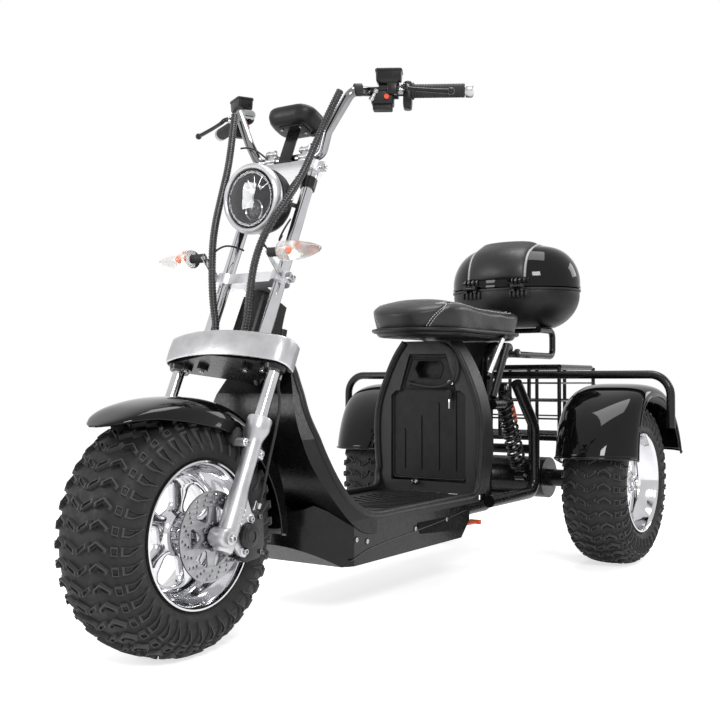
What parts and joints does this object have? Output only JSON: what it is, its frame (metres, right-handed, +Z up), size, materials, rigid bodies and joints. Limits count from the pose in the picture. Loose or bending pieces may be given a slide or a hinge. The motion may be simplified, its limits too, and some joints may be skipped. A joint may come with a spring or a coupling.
{
  "type": "electric tricycle",
  "caption": "Step-through electric tricycle with a wide balloon front tyre, raked fork, high handlebar, bench seat, top case, rear basket and wide rear fenders.",
  "frame": {"origin": "on the ground under the middle of the overall length, on the plane of symmetry", "axes": "+X towards the rider's left, +Y rearwards, +Z up; the vehicle faces -Y"},
  "size_m": [1.13, 2.0062, 1.2353],
  "materials": {
    "gloss_black": "high gloss black",
    "satin_black": "satin textured black",
    "battery_black": "matte textured black",
    "frame_black": "satin black powder coat",
    "tyre_rubber": "matte black rubber",
    "polished_alloy": "polished",
    "cast_silver": "painted silver",
    "chrome": "chrome plated",
    "dark_chrome": "dark chrome",
    "steel": "brushed stainless",
    "grip_rubber": "ribbed black rubber",
    "vinyl": "grained black vinyl",
    "lamp_glass": "clear",
    "signal_glass": "clear, faceted",
    "stand_red": "orange-red paint",
    "latch_red": "orange-red",
    "cable": "braided black sleeve"
  },
  "bodies": {
    "frame": {"main_frame": "frame_black", "leg_shield": "gloss_black", "belly_pan": "satin_black", "footboard": "satin_black", "battery": "battery_black", "tower": "satin_black", "seat_base": "gloss_black", "seat_cushion": "vinyl", "case_base": "satin_black", "seat_box": "satin_black", "rack": "frame_black", "rear_carriage": "frame_black", "axle_housing": "frame_black", "rear_fenders": "gloss_black", "guard_rail": "frame_black", "basket": "frame_black", "shocks": "frame_black"},
    "steering": {"fork_sliders": "cast_silver", "stanchions": "chrome", "lower_yoke": "frame_black", "yoke_cover": "cast_silver", "upper_tubes": "chrome", "mid_clamp": "cast_silver", "top_clamp": "cast_silver", "handlebar": "dark_chrome", "grips": "grip_rubber", "bar_ends": "polished_alloy", "brake_levers": "frame_black", "switch_pods": "satin_black", "headlight_bucket": "gloss_black", "headlight_ring": "cast_silver", "headlight_lens": "lamp_glass", "display": "satin_black", "display_bracket": "frame_black", "signals": "signal_glass", "signal_stalks": "grip_rubber", "front_fender": "gloss_black", "brake_caliper": "frame_black", "front_axle": "steel", "loom_left": "cable", "loom_right": "cable", "brake_hose": "cable"},
    "front_wheel": {"front_tyre": "tyre_rubber", "front_rim": "polished_alloy", "brake_disc": "steel"},
    "rear_wheel_left": {"rear_tyre_left": "tyre_rubber", "rear_rim_left": "polished_alloy"},
    "rear_wheel_right": {"rear_tyre_right": "tyre_rubber", "rear_rim_right": "polished_alloy"},
    "case_lid_body": {"case_lid": "gloss_black", "backrest_pad": "vinyl", "case_latch": "latch_red"},
    "stand": {"side_stand": "stand_red"}
  },
  "joints": [
    {"name": "steering", "type": "hinge", "parent": "frame", "child": "steering", "pos_m": [0, -0.51141, 0.64321], "axis": [0, 0.4147, 0.91], "range_deg": [-30, 30]},
    {"name": "front_wheel_spin", "type": "hinge", "parent": "steering", "child": "front_wheel", "pos_m": [0, -0.76, 0.24], "axis": [1, 0, 0], "continuous": true},
    {"name": "rear_left_spin", "type": "hinge", "parent": "frame", "child": "rear_wheel_left", "pos_m": [0.375, 0.713, 0.24], "axis": [1, 0, 0], "continuous": true},
    {"name": "rear_right_spin", "type": "hinge", "parent": "frame", "child": "rear_wheel_right", "pos_m": [-0.375, 0.713, 0.24], "axis": [1, 0, 0], "continuous": true},
    {"name": "case_lid_hinge", "type": "hinge", "parent": "frame", "child": "case_lid_body", "pos_m": [0, 0.664, 0.83], "axis": [1, 0, 0], "range_deg": [0, 75]},
    {"name": "side_stand_hinge", "type": "hinge", "parent": "frame", "child": "stand", "pos_m": [0.096, 0.208, 0.146], "axis": [-1, 0, 0], "range_deg": [0, 85]}
  ]
}
